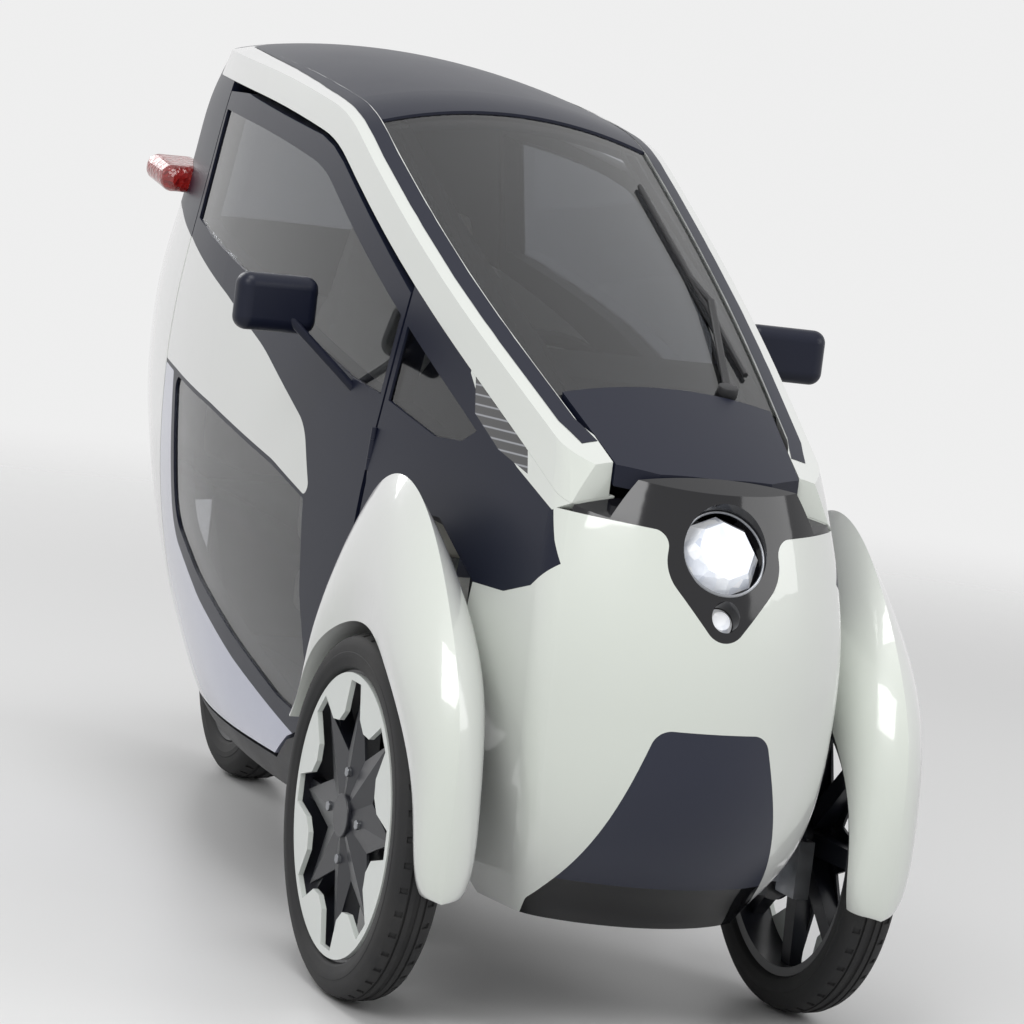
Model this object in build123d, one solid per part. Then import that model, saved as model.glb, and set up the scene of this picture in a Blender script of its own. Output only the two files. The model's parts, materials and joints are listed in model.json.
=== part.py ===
from build123d import *
import math
import os

# Three wheeled tandem car: two front wheels, one rear wheel that steers.
# Millimetres, +X forward, +Y left, +Z up. Shapes are drawn from the front axle and moved
# at export, so that the origin is on the floor below the middle of the car.

# driving dimensions
AXLE_X = 772.0            # front axle, ahead of the car's middle
WHEELBASE = 1700.0
TRACK = 740.0
FLOOR_Z = 180.0           # underside of the floor
FLOOR_T = 30.0
WALL = 40.0               # side wall and door thickness
SKIN = 28.0               # hood and roof thickness
RAIL_DEPTH = 45.0         # white rail, measured from the top surface
GLASS_T = 5.0
GLASS_SET = 4.0           # glass below the outer surface
SHUT_GAP = 6.0            # running gap round a door
SEAM = 0.4                # seam between fixed panels

FRONT_TYRE_R = 275.0
FRONT_TYRE_W = 80.0
FRONT_RIM_R = 219.0
REAR_TYRE_R = 236.0
REAR_TYRE_W = 118.0
REAR_RIM_R = 165.0
HUB_R = 26.0
AXLE_R = 14.0
RUN_FIT = 0.05            # radial clearance of a shaft in its hub
CLEAR = 0.3               # gap between curved faces of two bodies

SHAPES = {}


def place(name, *shapes):
    # one node: the solids of these shapes, moved from the axle to the part's origin
    solids = [s for shape in shapes for s in shape.solids()]
    moved = [Pos(AXLE_X, 0, 0) * s for s in solids]
    SHAPES[name] = moved[0] if len(moved) == 1 else Compound(children=moved)


def both(shape):
    # the right-hand shape and its left-hand twin
    solids = list(shape.solids())
    return Compound(children=solids + [mirror(s, about=Plane.XZ) for s in solids])


def left(shape):
    return Compound(children=[mirror(s, about=Plane.XZ) for s in shape.solids()])


def slab(points, y0, y1):
    # a side-view outline (x, z) pushed from y0 to y1
    face = make_face(Polyline(*[(x, y0, z) for x, z in points], close=True))
    return extrude(face, amount=abs(y1 - y0), dir=(0, math.copysign(1, y1 - y0), 0))


def soft_outline(points, radii):
    # a closed outline with an arc at each corner, its radius cut down where the sides are short
    n, edges, ends = len(points), [], []
    for k in range(n):
        before, here, after = (Vector(*points[(k + d) % n]) for d in (-1, 0, 1))
        a, b = before - here, after - here
        turn = math.radians(a.get_angle(b))
        set_back = min(radii[k] / math.tan(turn / 2), 0.48 * a.length, 0.48 * b.length)
        if set_back < 0.5:
            ends.append((here, here))
            continue
        start = here + a.normalized() * set_back
        end = here + b.normalized() * set_back
        r = set_back * math.tan(turn / 2)
        centre = here + (a.normalized() + b.normalized()).normalized() * (r / math.sin(turn / 2))
        middle = centre + (here - centre).normalized() * r
        ends.append((start, end))
        edges.append(ThreePointArc(start, middle, end))
    for k in range(n):
        edges.append(Line(ends[k][1], ends[(k + 1) % n][0]))
    return make_face(edges)


def soft_slab(points, radii, y0, y1):
    # a side-view outline with rounded corners, pushed from y0 to y1
    face = soft_outline([(x, z) for x, z in points], radii)
    plane = Plane(origin=(0, y0, 0), x_dir=(1, 0, 0), z_dir=(0, -1, 0))
    return extrude(plane * face, amount=abs(y1 - y0), dir=(0, math.copysign(1, y1 - y0), 0))


def block(x0, x1, y0, y1, z0, z1):
    size = Box(abs(x1 - x0), abs(y1 - y0), abs(z1 - z0))
    return Pos((x0 + x1) / 2, (y0 + y1) / 2, (z0 + z1) / 2) * size


def rod(a, b, r):
    # a round bar between two points
    a, b = Vector(*a), Vector(*b)
    plane = Plane(origin=a, z_dir=(b - a).normalized())
    return extrude(plane * Circle(r), amount=(b - a).length)


# body plan at each height: the nose arc, the front corner, the widest point,
# the rear corner and the tail arc
# z, nose x, corner x, corner y, widest x, widest y, rear x, rear y, tail x
BODY_ROWS = [
    (180, 262, 190, 176, -700, 255, -1290, 205, -1340),
    (260, 330, 245, 208, -750, 330, -1340, 240, -1410),
    (350, 388, 285, 230, -800, 348, -1420, 262, -1550),
    (480, 406, 298, 242, -850, 360, -1560, 272, -1730),
    (620, 398, 290, 244, -950, 367, -1690, 270, -1860),
    (740, 372, 262, 232, -1000, 367, -1780, 265, -1920),
    (860, 335, 215, 212, -1050, 362, -1810, 262, -1945),
    (980, 270, 110, 212, -1080, 352, -1800, 258, -1930),
    (1100, 150, 0, 215, -1100, 336, -1740, 254, -1850),
    (1220, 30, -120, 215, -1120, 317, -1690, 248, -1780),
    (1340, -90, -240, 215, -1140, 296, -1640, 240, -1710),
    (1460, -210, -360, 215, -1160, 272, -1590, 232, -1640),
]
NOSE_CORNER_R = 75.0
TAIL_CORNER_R = 80.0


def circles_meet(c1, r1, c2, r2, near):
    # the crossing of two circles that lies nearest to a point
    d = math.dist(c1, c2)
    a = (r1 * r1 - r2 * r2 + d * d) / (2 * d)
    h = math.sqrt(max(0.0, r1 * r1 - a * a))
    ux, uy = (c2[0] - c1[0]) / d, (c2[1] - c1[1]) / d
    px, py = c1[0] + a * ux, c1[1] + a * uy
    return min([(px - h * uy, py + h * ux), (px + h * uy, py - h * ux)],
               key=lambda p: math.dist(p, near))


def toward(centre, point, radius):
    d = math.dist(centre, point)
    return (centre[0] + (point[0] - centre[0]) * radius / d,
            centre[1] + (point[1] - centre[1]) * radius / d)


def arc_middle(centre, p, q, radius):
    return toward(centre, ((p[0] + q[0]) / 2, (p[1] + q[1]) / 2), radius)


def body_section(row, inset):
    # ten arcs, tangent at the rounded corners, set in from the skin by the inset
    z, nose_x, ax, ay, mx, my, bx, by, tail_x = row
    nose_r = (ay**2 + (nose_x - ax)**2) / (2 * (nose_x - ax))
    nose_c = (nose_x - nose_r, 0)
    side_r = ((ax - mx)**2 + (my - ay)**2) / (2 * (my - ay))
    side_c = (mx, my - side_r)
    hip_r = ((mx - bx)**2 + (my - by)**2) / (2 * (my - by))
    hip_c = (mx, my - hip_r)
    tail_r = (by**2 + (bx - tail_x)**2) / (2 * (bx - tail_x))
    tail_c = (tail_x + tail_r, 0)
    k1 = circles_meet(nose_c, nose_r - NOSE_CORNER_R, side_c, side_r - NOSE_CORNER_R,
                      (ax, ay - NOSE_CORNER_R))
    k2 = circles_meet(tail_c, tail_r - TAIL_CORNER_R, hip_c, hip_r - TAIL_CORNER_R,
                      (bx, by - TAIL_CORNER_R))
    p1, p2 = toward(nose_c, k1, nose_r - inset), toward(side_c, k1, side_r - inset)
    p3 = (mx, my - inset)
    p4, p5 = toward(hip_c, k2, hip_r - inset), toward(tail_c, k2, tail_r - inset)
    half = [
        (p1, arc_middle(k1, p1, p2, NOSE_CORNER_R - inset), p2),
        (p2, arc_middle(side_c, p2, p3, side_r - inset), p3),
        (p3, arc_middle(hip_c, p3, p4, hip_r - inset), p4),
        (p4, arc_middle(k2, p4, p5, TAIL_CORNER_R - inset), p5),
    ]
    arcs = [[(p1[0], -p1[1]), (nose_x - inset, 0), p1]] + half
    arcs += [[p5, (tail_x + inset, 0), (p5[0], -p5[1])]]
    arcs += [[(x, -y) for x, y in reversed(arc)] for arc in reversed(half)]
    return Wire([ThreePointArc(*[(x, y, z) for x, y in arc]) for arc in arcs])


def body_form(inset):
    return Solid.make_loft([body_section(row, inset) for row in BODY_ROWS])


# the top line in side view: hood and windscreen in one straight run, then the roof's arcs
TOP_X, TOP_Z = 420.0, 799.0
TOP_RUN = 1040.0
SCREEN_DEG, ROOF_DEG, REAR_DEG = 27.0, 10.5, -3.0
BROW_R, ROOF_R = 550.0, 3900.0
ROOF_TAIL = 400.0
CROWN_R = 850.0
CROWN_W = 470.0


def top_stations():
    # x, z and slope along the top line: both ends and the middle of each arc
    a0, a1, a2 = (math.radians(d) for d in (SCREEN_DEG, ROOF_DEG, REAR_DEG))
    x, z = TOP_X - TOP_RUN, TOP_Z + TOP_RUN * math.tan(a0)
    stations = [(TOP_X, TOP_Z, a0), (x, z, a0)]
    for r, start, end in ((BROW_R, a0, a1), (ROOF_R, a1, a2)):
        for a in ((start + end) / 2, end):
            stations.append((x - r * (math.sin(start) - math.sin(a)),
                             z + r * (math.cos(a) - math.cos(start)), a))
        x, z = stations[-1][:2]
    stations.append((x - ROOF_TAIL * math.cos(a2), z + ROOF_TAIL * math.sin(a2), a2))
    return stations


STATIONS = top_stations()


def top_path():
    p = [(x, 0, z) for x, z, a in STATIONS]
    return Wire([Line(p[0], p[1]), ThreePointArc(p[1], p[2], p[3]),
                 ThreePointArc(p[3], p[4], p[5]), Line(p[5], p[6])])


def top_line(depth):
    # the top line in side view, set in square to itself
    return [(x - depth * math.sin(a), z - depth * math.cos(a)) for x, z, a in STATIONS]


TOP_PATH = top_path()
SCREEN_TILT = math.radians(SCREEN_DEG)
TOP_START = Plane(origin=(TOP_X, 0, TOP_Z), x_dir=(0, 1, 0),
                  z_dir=(-math.cos(SCREEN_TILT), 0, math.sin(SCREEN_TILT)))
CROWN_DROP = CROWN_R - math.sqrt(CROWN_R**2 - CROWN_W**2)


def top_band(depth0, depth1):
    # the layer between two depths under the crowned top surface
    w, low0, low1 = CROWN_W, depth0 + CROWN_DROP, depth1 + CROWN_DROP
    face = make_face([
        ThreePointArc((-w, low0), (0, depth0), (w, low0)),
        Line((w, low0), (w, low1)),
        ThreePointArc((w, low1), (0, depth1), (-w, low1)),
        Line((-w, low1), (-w, low0)),
    ])
    return sweep(TOP_START * face, path=TOP_PATH)


SKY = 700.0


def above_top(depth):
    # everything over the top surface, or over a layer below it
    w, low = CROWN_W, depth + CROWN_DROP
    face = make_face([
        ThreePointArc((-w, low), (0, depth), (w, low)),
        Line((w, low), (w, -SKY)),
        Line((w, -SKY), (-w, -SKY)),
        Line((-w, -SKY), (-w, low)),
    ])
    return sweep(TOP_START * face, path=TOP_PATH)


OUTER = body_form(0)
INNER = body_form(WALL)
RAIL_IN = body_form(WALL + SEAM)
WALLS = OUTER - INNER - above_top(RAIL_DEPTH + SEAM)
TOP_LAYER = OUTER & top_band(0, RAIL_DEPTH)
print("body forms made")

PLATE_X, PLATE_Z, PLATE_W, PLATE_H, PLATE_T = -1962.0, 790.0, 240.0, 130.0, 4.0
PLATE_BLOCK, PLATE_HOLE_Y, PLATE_HOLE_R = 50.0, 90.0, 3.3
FAR = 600.0
ROOF_END_X = -1575.0

# panel outlines in side view (x, z)
DOOR_FRONT_X = -305.0
DOOR_REAR_X = -1385.0
DOOR_FOOT_Z = 258.0
BELT_LINE = [(-1600, 1150), (-1385, 1102), (-1061, 1041), (-871, 1005), (-666, 954),
             (-430, 901), (-294, 881), (-120, 845), (-42, 848), (20, 880)]
ARM_LINE = [(-1600, 1098), (-1385, 1058), (-1040, 977), (-802, 909), (-560, 806),
            (-486, 690), (-671, 734), (-1027, 788), (-1310, 822), (-1600, 850)]
ARM_ROUND = [0, 300, 600, 600, 110, 14, 300, 500, 300, 0]
LOW_GLASS_LINE = [(-512, 690), (-476, 537), (-431, 431), (-412, 338), (-550, 358),
                  (-788, 418), (-1026, 486), (-1215, 560), (-1300, 812),
                  (-1027, 780), (-671, 726)]
LOW_GLASS_ROUND = [6, 200, 200, 12, 300, 400, 400, 110, 20, 300, 300]
LOW_PANEL_LINE = [(-520, 100), (-440, 300), (-520, 318), (-781, 378), (-1019, 446),
                  (-1240, 535), (-1325, 815), (-1600, 845), (-1600, 100)]
LOW_PANEL_ROUND = [1, 1, 60, 400, 400, 120, 8, 1, 1]
ARCH_LINE = [(58, 100), (94, 654), (-40, 730), (-183, 727), (-255, 640), (-275, 541),
             (-300, 371), (-300, 100)]
FORK_LINE = [(-75, 975), (-70, 950), (-5, 893), (120, 832), (238, 786), (262, 800),
             (262, 900), (-75, 1060)]
LAMP_LINE = [(-60, 958), (-28, 893), (60, 850), (152, 826), (118, 884), (40, 935)]
COWL_LINE = [(-299, 371), (-299, 881), (-120, 845), (-42, 848), (20, 886), (120, 838),
             (238, 792), (264, 745), (285, 714), (245, 675), (180, 655), (94, 654), (-40, 728),
             (-183, 725), (-257, 640), (-277, 541)]
NOSE_BACK_X = 60.0
WINDOW_MARGIN = 22.0
WINDOW_FRONT = 12.0
RAIL_RISE = 26.0
# front view (y, z)
POD_HALF = [(0, 612), (92, 722), (84, 780), (300, 796), (300, 960)]
POD_ROUND = [34, 60, 22, 1, 1]
GRILLE_HALF = [(86, 500), (180, 208), (168, 140)]
GRILLE_ROUND = [30, 16, 1]
SCREEN_FOOT_X, SCREEN_HEAD_X = 92.0, -665.0
HOOD_NOSE_X = 306.0
POD_BACK_X = 266.0
ROOF_END_X = -1560.0
TAIL_HALF = 196.0


def door_outline(gap):
    # the door's edge in side view, grown by the shut gap for the hole round it
    front, rear, foot = DOOR_FRONT_X + gap, DOOR_REAR_X - gap, DOOR_FOOT_Z - gap
    return [(front, 1500), (front, 385 - gap), (-430 + gap, 326 - gap), (-505, 300 - gap),
            (-575 + gap, foot), (-1300 - gap, foot), (-1352 - gap, 340), (-1400 - gap, 560),
            (rear - 25, 860), (rear, 1120), (rear + 20, 1500)]


def front_prism(half, radii, x0, x1):
    # a front-view outline, mirrored about the middle, pushed along X
    points = [(y, z) for y, z in half] + [(-y, z) for y, z in reversed(half) if y > 0]
    rounds = list(radii) + [r for (y, z), r in reversed(list(zip(half, radii))) if y > 0]
    plane = Plane(origin=(x0, 0, 0), x_dir=(0, 1, 0), z_dir=(1, 0, 0))
    return extrude(plane * soft_outline(points, rounds), amount=x1 - x0)


# body panels
right_half = block(-2100, 600, -FAR, 0, 0, 1700)
wall = WALLS & right_half
pane_layer = (body_form(GLASS_SET) - body_form(GLASS_SET + GLASS_T)) & right_half
window_top = above_top(RAIL_DEPTH + RAIL_RISE + WINDOW_MARGIN)
door_hole = slab(door_outline(SHUT_GAP), -FAR, 0)
arch = slab(ARCH_LINE, -FAR, 0)

# the rail dips at the skin by the crown's drop there, and the door passes under that
RAIL_SKIN_Y = 296.0
RAIL_DIP = CROWN_R - math.sqrt(CROWN_R**2 - RAIL_SKIN_Y**2)
door_top = top_line(RAIL_DEPTH + RAIL_DIP + SHUT_GAP + 2)
over_door = slab([(door_top[0][0], 1700)] + door_top + [(-2100, door_top[-1][1]), (-2100, 1700)],
                 -FAR, 0)
door = (wall & slab(door_outline(0), -FAR, 0)) - over_door
arm_cut = soft_slab(ARM_LINE, ARM_ROUND, -FAR, 0)
low_panel_cut = soft_slab(LOW_PANEL_LINE, LOW_PANEL_ROUND, -FAR, 0)
low_glass_cut = soft_slab(LOW_GLASS_LINE, LOW_GLASS_ROUND, -FAR, 0)
upper_window = slab([(DOOR_REAR_X + WINDOW_MARGIN, 1500)] +
                    [(DOOR_REAR_X + WINDOW_MARGIN, 1096)] + BELT_LINE[2:6] +
                    [(DOOR_FRONT_X - WINDOW_FRONT, 886), (DOOR_FRONT_X - WINDOW_FRONT, 1500)],
                    -FAR, 0) - window_top
door_skin = door - upper_window - arm_cut - low_panel_cut - low_glass_cut
door_arm = door & arm_cut
door_low = (door & low_panel_cut) - low_glass_cut
door_panes = [pane_layer & upper_window, pane_layer & low_glass_cut]
print("doors made")

fixed = wall - door_hole - arch
fork_cut, lamp_cut = slab(FORK_LINE, -FAR, 0), slab(LAMP_LINE, -FAR, 0)
cowl_cut = slab(COWL_LINE, -FAR, 0)
quarter_x = DOOR_FRONT_X + SHUT_GAP + WINDOW_FRONT
quarter_hole = slab([(quarter_x, 1500), (quarter_x, 880)] +
                    BELT_LINE[7:] + [(20, 1500)], -FAR, 0)
quarter_hole = (quarter_hole - window_top) - fork_cut - lamp_cut
rear_part = block(-2100, -1330, -FAR, 0, 0, 1700)
shoulder_cut = slab([(-2100, 1160), (-1600, 1098), (-1330, 1046), (-1330, 1700), (-2100, 1700)],
                    -FAR, 0)
sill_cut = block(-1420, -299, -FAR, 0, 100, DOOR_FOOT_Z - SHUT_GAP)
sill_cut = sill_cut + block(-640, -299, -FAR, 0, 100, 420)
pod_cut = front_prism(POD_HALF, POD_ROUND, 150, 500)
grille_cut = front_prism(GRILLE_HALF, GRILLE_ROUND, 120, 500)
rear_well = Pos(-WHEELBASE, 0, 0) * Cylinder(276, 1080) & block(-2100, -1300, -178, 178, 0, 540)

front_fixed = fixed & block(-299, 600, -FAR, 0, 0, 1700)
rail_forks = (front_fixed & fork_cut) - lamp_cut
marker_lamps = front_fixed & lamp_cut
cowl = (front_fixed & cowl_cut) - fork_cut - lamp_cut
screen_frame = front_fixed & slab([(DOOR_FRONT_X + 6, 1500), (DOOR_FRONT_X + 6, 881)] +
                                  BELT_LINE[7:] + [(20, 1500)], -FAR, 0)
screen_frame = screen_frame - quarter_hole - fork_cut - lamp_cut
cuts = [fork_cut, lamp_cut, cowl_cut, door_hole, arch]
nose = WALLS & block(NOSE_BACK_X, 600, -FAR, FAR, 0, 1700)
for cut in [pod_cut, grille_cut] + cuts + [left(c) for c in cuts]:
    nose = nose - cut
rear_fixed = (fixed & rear_part) - rear_well
tail_cut = block(-2100, -1500, -TAIL_HALF, TAIL_HALF, 0, 1700)
pillar = (rear_fixed & shoulder_cut) - tail_cut
quarter = rear_fixed - shoulder_cut - sill_cut - tail_cut
sills = (fixed - rear_well) & sill_cut
tail_wall = (WALLS & tail_cut & block(-2100, -1600, -FAR, FAR, 0, 1700)) - rear_well
tail_window = block(-2100, -1500, -TAIL_HALF + 24, TAIL_HALF - 24, 1090, 1330)
tail_panel = tail_wall - tail_window
rear_window = (body_form(GLASS_SET) - body_form(GLASS_SET + GLASS_T)) & tail_window
rear_window = rear_window - above_top(RAIL_DEPTH + SEAM)
print("side panels made")

TRIMMED = OUTER - above_top(0)
front_shell = (TRIMMED - INNER) & block(100, 600, -FAR, FAR, 0, 1000)
under_hood = above_top(RAIL_DEPTH + SEAM) & block(0, HOOD_NOSE_X + SEAM, -FAR, FAR, 0, 1200)
pod = (front_shell & pod_cut & block(POD_BACK_X, 600, -FAR, FAR, 0, 1000)) - under_hood
grille = front_shell & grille_cut

# plan of the hood (x, half width), which also sets the rails' inner edge there
HOOD_PLAN = [(-300, 190), (60, 174), (262, 150), (420, 150)]
wedge = [(x, y) for x, y in HOOD_PLAN] + [(x, -y) for x, y in reversed(HOOD_PLAN)]
wedge = extrude(Pos(0, 0, 600) * make_face(Polyline(*wedge, close=True)), amount=600)
rail_room = RAIL_IN + wedge
HOOD_FRONT = [(268, 147), (298, 90), (308, 0)]
hood_plan = [(SCREEN_FOOT_X + SEAM, 171.4)] + HOOD_FRONT
hood_plan = hood_plan + [(x, -y) for x, y in reversed(hood_plan) if y > 0]
hood_form = extrude(Pos(0, 0, 600) * make_face(Polyline(*hood_plan, close=True)), amount=600)
ROOM = RAIL_IN
top_skin = (OUTER & top_band(0, SKIN)) & ROOM
hood = OUTER & top_band(0, SKIN) & hood_form
roof = top_skin & block(-2100, SCREEN_HEAD_X - SEAM, -FAR, FAR, 0, 1700)
screen = (OUTER & top_band(GLASS_SET, GLASS_SET + GLASS_T)) & rail_room
screen = screen & block(SCREEN_HEAD_X, SCREEN_FOOT_X, -FAR, FAR, 0, 1700)
rail = (TOP_LAYER - rail_room) & block(ROOF_END_X, 262, -FAR, 0, 0, 1700)
surround = (RAIL_IN & top_band(GLASS_SET + GLASS_T, 26)) - body_form(WALL + 44)
surround = surround & block(SCREEN_HEAD_X, SCREEN_FOOT_X, -FAR, FAR, 0, 1700)
tail_head = (TOP_LAYER - body_form(WALL)) & block(-2100, ROOF_END_X - SEAM, -FAR, FAR, 1150, 1700)
print("top panels made")


def wheel_turn(points):
    # a ring turned about the wheel's axle from (radius, y) points
    return revolve(make_face(Polyline(*[(r, y, 0) for r, y in points], close=True)), Axis.Y, 360)


def tyre_ring(r, w, rim_r):
    # six flats: bore, two lower walls, two shoulders and the tread
    wall = r - rim_r
    half = [(rim_r, 0.36 * w), (r - 0.3 * wall, 0.5 * w), (r, 0.26 * w)]
    return wheel_turn([(rr, -y) for rr, y in half] + [(rr, y) for rr, y in reversed(half)])


# front wheel, drawn for the left-hand side with +Y outward
DISC_Y = 36.0             # outer face of the white disc, from the wheel's middle plane
DISC_T = 8.0
LOBES = 8
# radius, half width of one star lobe
LOBE_ROWS = [(203.0, 21.5), (152.0, 35.0)]
WEDGE_R = 146.0


def star_face():
    points = []
    for k in range(LOBES):
        a = 2 * math.pi * k / LOBES
        pitch = math.pi / LOBES
        ring = [(math.hypot(r, w), -math.atan2(w, r)) for r, w in reversed(LOBE_ROWS)]
        ring += [(rr, -t) for rr, t in reversed(ring)] + [(WEDGE_R, pitch)]
        points += [(rr * math.cos(a + t), rr * math.sin(a + t)) for rr, t in ring]
    return Plane.XZ * make_face(Polyline(*points, close=True))


def front_wheel():
    plate = wheel_turn([(20, DISC_Y - DISC_T), (FRONT_RIM_R - 4, DISC_Y - DISC_T),
                        (FRONT_RIM_R - 4, DISC_Y), (20, DISC_Y)])
    star = extrude(star_face(), amount=FRONT_TYRE_W, both=True)
    disc = plate - star
    back = DISC_Y - DISC_T
    rim = wheel_turn([(FRONT_RIM_R - 14, -28), (FRONT_RIM_R, -30), (FRONT_RIM_R, back),
                      (FRONT_RIM_R - 14, back)])
    hub = wheel_turn([(AXLE_R + RUN_FIT, -44), (HUB_R, -44), (HUB_R + 14, 8), (60, 16),
                      (60, 24), (AXLE_R + RUN_FIT, 24)])
    spokes = []
    for k in range(LOBES):
        bar = loft([Plane(origin=(50, 6, 0), x_dir=(0, 1, 0), z_dir=(1, 0, 0)) *
                    Rectangle(30, 34),
                    Plane(origin=(FRONT_RIM_R - 8, 6, 0), x_dir=(0, 1, 0), z_dir=(1, 0, 0)) *
                    Rectangle(20, 30)])
        spokes.append(Rot(0, 360 * k / LOBES, 0) * bar)
    brake = wheel_turn([(HUB_R + 2, -46), (100, -46), (100, -52), (HUB_R - 4, -52),
                        (HUB_R - 4, -40), (HUB_R + 2, -40)])
    centre = rim + hub
    for bar in spokes:
        centre = centre + bar
    centre = centre - Rot(90, 0, 0) * Cylinder(AXLE_R + RUN_FIT, 200) + (brake - Rot(90, 0, 0) *
                                                                      Cylinder(AXLE_R + RUN_FIT, 200))
    tyre = tyre_ring(FRONT_TYRE_R, FRONT_TYRE_W, FRONT_RIM_R)
    return disc, centre, tyre


def rear_wheel():
    r, w = REAR_RIM_R, REAR_TYRE_W
    rim = wheel_turn([(r - 12, -0.4 * w), (r, -0.42 * w), (r, 0.42 * w), (r - 12, 0.4 * w)])
    web = wheel_turn([(AXLE_R + RUN_FIT, -30), (38, -30), (38, -8), (r - 10, -6), (r - 10, 6),
                      (38, 8), (38, 30), (AXLE_R + RUN_FIT, 30)])
    return rim + web, tyre_ring(REAR_TYRE_R, REAR_TYRE_W, REAR_RIM_R)


# front fender sections round the axle
# degrees from +X, inner radius, outer radius, inner y, outer y, at the left wheel
FENDER_ROWS = [
    (-10, 286, 318, 312, 376),
    (15, 288, 346, 300, 400),
    (40, 288, 392, 292, 412),
    (70, 290, 458, 292, 414),
    (97, 292, 516, 312, 404),
    (112, 292, 462, 320, 408),
    (135, 291, 336, 328, 414),
    (160, 288, 306, 338, 412),
]


def fender():
    faces = []
    for deg, r0, r1, y0, y1 in FENDER_ROWS:
        a = math.radians(deg)
        plane = Plane(origin=(0, 0, FRONT_TYRE_R), x_dir=(0, 1, 0),
                      z_dir=(-math.sin(a), 0, math.cos(a)))
        rise = r1 - r0
        crest = ((y0 + y1) / 2 + 8, -r1)
        section = [
            Line((y0, -r0), (y1, -r0)),
            ThreePointArc((y1, -r0), (y1 + 1 - 0.07 * (y1 - y0), -r0 - 0.62 * rise), crest),
            ThreePointArc(crest, (y0 + 0.12 * (y1 - y0), -r0 - 0.6 * rise), (y0, -r0)),
        ]
        faces.append(plane * make_face(section))
    return loft(faces)


disc, centre, tyre = front_wheel()
for side, sign in (("left", 1), ("right", -1)):
    seat = Pos(0, sign * TRACK / 2, FRONT_TYRE_R)
    turn = seat if sign > 0 else seat * Rot(0, 0, 180)
    place(f"{side}_wheel_disc", turn * disc)
    place(f"{side}_wheel_centre", turn * centre)
    place(f"{side}_front_tyre", turn * tyre)
rear_rim, rear_tyre = rear_wheel()
rear_seat_pos = Pos(-WHEELBASE, 0, REAR_TYRE_R)
place("rear_wheel_rim", rear_seat_pos * rear_rim)
place("rear_tyre", rear_seat_pos * rear_tyre)
wing = fender()
place("front_fenders", both(wing))
print("wheels made")

# front suspension, left-hand side
KNUCKLE_Y0, KNUCKLE_Y1 = 284.0, 304.0
KNUCKLE_Z0, KNUCKLE_Z1 = 185.0, 420.0
ARM_ROOT_Y = 128.0
YOKE_Z = 560.0
knuckle = block(-26, 26, KNUCKLE_Y0, KNUCKLE_Y1, KNUCKLE_Z0, KNUCKLE_Z1)
stub = rod((0, KNUCKLE_Y1 - 2, FRONT_TYRE_R), (0, TRACK / 2 + 26, FRONT_TYRE_R), AXLE_R)
caliper = block(50, 114, 306, 332, 200, 290) - block(30, 106, 316.5, 325, 100, 400)
caliper_bar = block(20, 60, KNUCKLE_Y0 + 2, 312, 215, 260)
caliper_bar = caliper_bar - block(0, 26, 300, 320, 100, 400)
place("front_knuckles", both(knuckle + stub + caliper_bar + caliper))
arms = []
for z in (215, 385):
    tip = rod((0, KNUCKLE_Y0, z), (0, KNUCKLE_Y0 - 30, z), 15)
    fore = rod((48, ARM_ROOT_Y - 10, z + 10), (6, KNUCKLE_Y0 - 18, z), 11)
    aft = rod((-95, ARM_ROOT_Y - 10, z + 10), (-6, KNUCKLE_Y0 - 18, z), 11)
    arm = (tip + fore + aft) & block(-200, 200, ARM_ROOT_Y, KNUCKLE_Y0, 100, 500)
    arms.append(both(arm))
strut = rod((0, 218, YOKE_Z), (0, 288, KNUCKLE_Z1 - 20), 14)
strut = strut & block(-50, 50, 180, 400, KNUCKLE_Z1, YOKE_Z - 20)
stay = block(-24, 24, KNUCKLE_Y1, KNUCKLE_Y1 + 7, 350, 620) - wing
place("fender_stays", both(max(stay.solids(), key=lambda k: k.bounding_box().size.Z)))
place("front_arms", *arms)
place("lean_struts", both(strut))
place("lean_yoke", block(-38, 38, -240, 240, YOKE_Z - 20, YOKE_Z + 20))
beam = block(50, 400, -90, 90, 300, 380) & RAIL_IN
place("front_frame", block(-48, 56, -ARM_ROOT_Y, ARM_ROOT_Y, 205, YOKE_Z - 20) + beam)

# cabin structure
SHELF_Z = 600.0
place("floor_pan", (RAIL_IN & block(-1420, -298, -FAR, FAR, 0, FLOOR_Z + FLOOR_T)))
tub = block(-298, -48, -ARM_ROOT_Y, ARM_ROOT_Y, 205, 640)
place("footwell_tub", tub - block(-299, -60, 12 - ARM_ROOT_Y, ARM_ROOT_Y - 12, 217, 700))
place("battery_block", block(-1250, -900, -180, 180, FLOOR_Z + FLOOR_T, 350))
bulkhead = block(-1434, -1420, -215, 215, FLOOR_Z, SHELF_Z)
shelf = block(-1860, -1420, -FAR, FAR, SHELF_Z, SHELF_Z + 14)
boss = Pos(-WHEELBASE, 0, SHELF_Z - 20) * (Cylinder(36, 40) - Cylinder(18 + RUN_FIT, 60))
place("rear_bulkhead", ((bulkhead + shelf) & RAIL_IN) + boss)
place("driver_seat_cushion", block(-1010, -600, -195, 195, 430, 540))
place("driver_seat_base", block(-985, -640, -160, 160, 350, 429.7))
back = slab([(-960, 540 + CLEAR), (-1060, 540 + CLEAR), (-1140, 960), (-1140, 1170), (-1075, 1180), (-1035, 960)],
            -185, 185)
place("driver_seat_back", back)
place("rear_seat", slab([(-1450, 614.5), (-1740, 614.5), (-1770, 960), (-1720, 970),
                         (-1660, 720), (-1450, 710)], -165, 165))
DASH_BACK_X = -305.0
dash_side = [(DASH_BACK_X + 15, 730), (DASH_BACK_X, 900), (-230, 990), (-20, 960), (60, 900),
             (40, 700)]
dash_wide = slab(dash_side, -FAR, FAR) & RAIL_IN & block(-294, 100, -FAR, FAR, 700, 1100)
place("dashboard", slab(dash_side, -165, 165) + dash_wide)

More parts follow.
